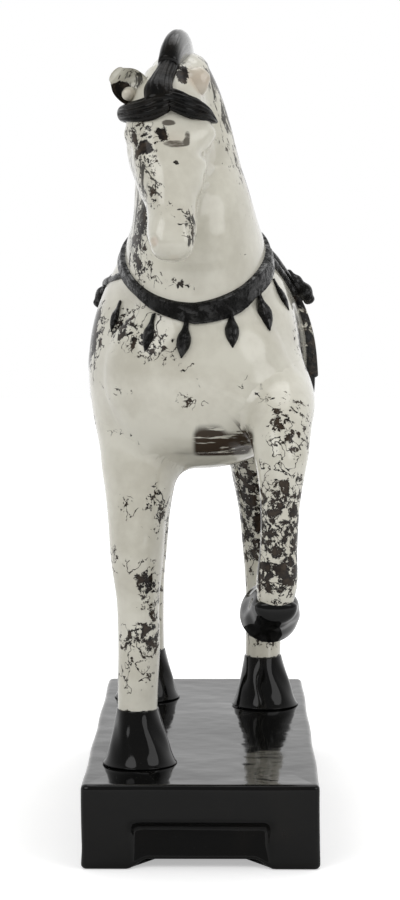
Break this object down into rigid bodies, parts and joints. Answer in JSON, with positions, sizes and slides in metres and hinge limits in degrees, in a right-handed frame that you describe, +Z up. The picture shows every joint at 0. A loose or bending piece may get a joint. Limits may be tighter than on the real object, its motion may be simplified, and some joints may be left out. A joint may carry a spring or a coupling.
{
  "type": "horse figurine",
  "caption": "Glazed ceramic horse standing on a footed plinth with one foreleg raised, wearing a saddle, a breast collar and hanging drops; a shelf ornament.",
  "frame": {"origin": "under the middle of the plinth, on the surface that it stands on", "axes": "+Z up; the horse looks along -Y; +X to the horse's left"},
  "size_m": [0.1475, 0.35, 0.4916],
  "materials": {
    "cream_glaze": "glossy cream glaze with dark flaked patches",
    "black_glaze": "glossy black glaze with slight ripples",
    "black_satin": "satin black, slightly pitted",
    "blanket_glaze": "mottled black over cream",
    "steel": "plain drawn rod"
  },
  "bodies": {
    "root": {"plinth": "black_glaze", "barrel": "cream_glaze", "neck": "cream_glaze", "head": "cream_glaze", "ear_left": "cream_glaze", "ear_right": "cream_glaze", "forelock": "black_glaze", "mane_crest": "black_glaze", "foreleg_right": "cream_glaze", "foreleg_left_raised": "cream_glaze", "hind_leg_left": "cream_glaze", "hind_leg_right": "cream_glaze", "hoof_front_right": "black_glaze", "hoof_front_left": "black_glaze", "hoof_hind_left": "black_glaze", "hoof_hind_right": "black_glaze", "tail": "black_glaze", "saddle_blanket": "blanket_glaze", "saddle": "black_satin", "breast_collar": "black_satin", "side_strap_left": "black_satin", "side_strap_right": "black_satin", "crupper_strap_left": "black_satin", "crupper_strap_right": "black_satin", "chest_pendant_1": "black_satin", "chest_pendant_2": "black_satin", "chest_pendant_3": "black_satin", "chest_pendant_4": "black_satin", "chest_pendant_5": "black_satin", "chest_pendant_6": "black_satin", "rump_pendant_left_1": "black_satin", "rump_pendant_left_2": "black_satin", "rump_pendant_left_3": "black_satin", "rump_pendant_right_1": "black_satin", "rump_pendant_right_2": "black_satin", "rump_pendant_right_3": "black_satin", "dowel_neck": "steel", "dowel_head": "steel", "dowel_foreleg_right": "steel", "dowel_foreleg_left": "steel", "dowel_hind_left": "steel", "dowel_hind_right": "steel", "dowel_tail": "steel", "dowel_hoof_front_left": "steel", "leg_rod_front_right": "steel", "leg_rod_hind_left": "steel", "leg_rod_hind_right": "steel"}
  },
  "joints": []
}
